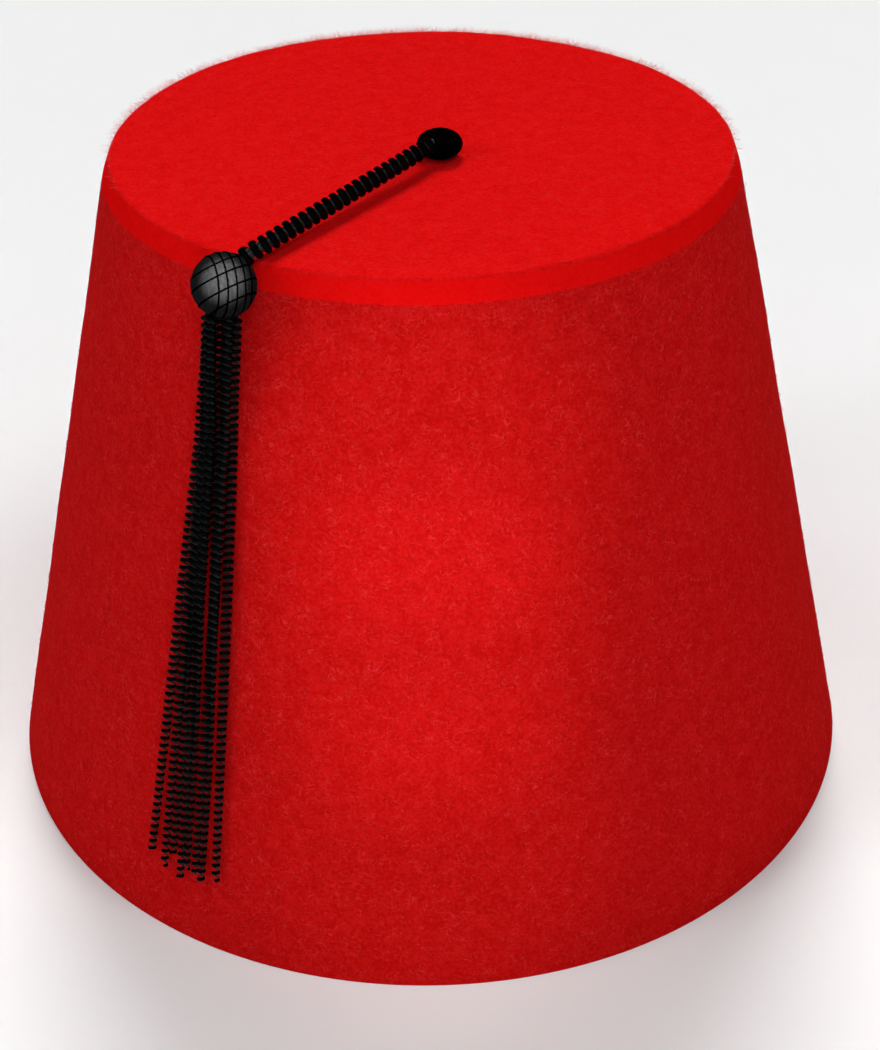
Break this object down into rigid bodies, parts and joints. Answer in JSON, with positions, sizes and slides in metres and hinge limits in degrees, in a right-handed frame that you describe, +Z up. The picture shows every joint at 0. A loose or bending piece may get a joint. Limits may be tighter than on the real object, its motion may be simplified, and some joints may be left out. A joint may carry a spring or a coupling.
{
  "type": "fez hat",
  "caption": "Tall round felt hat with a flat top, an open base, and a cord from a top button over the edge to a ball and hanging tassel.",
  "frame": {"origin": "centre of the rim, on the surface that the hat rests on", "axes": "+Z up along the crown's axis, -Y to the front; seen from the front the tassel hangs on the left, towards -X"},
  "size_m": [0.1898, 0.1898, 0.1457],
  "materials": {
    "felt": "pressed wool felt, matt, with short curled fibres",
    "button_cloth": "black cloth cover, matt",
    "cord_yarn": "black wound cord with a soft sheen",
    "ball_thread": "black satin thread wound over a core",
    "tassel_yarn": "black coiled strands with a soft sheen"
  },
  "bodies": {
    "root": {"crown": "felt", "button": "button_cloth", "cord": "cord_yarn", "ball": "ball_thread", "tassel": "tassel_yarn"}
  },
  "joints": []
}
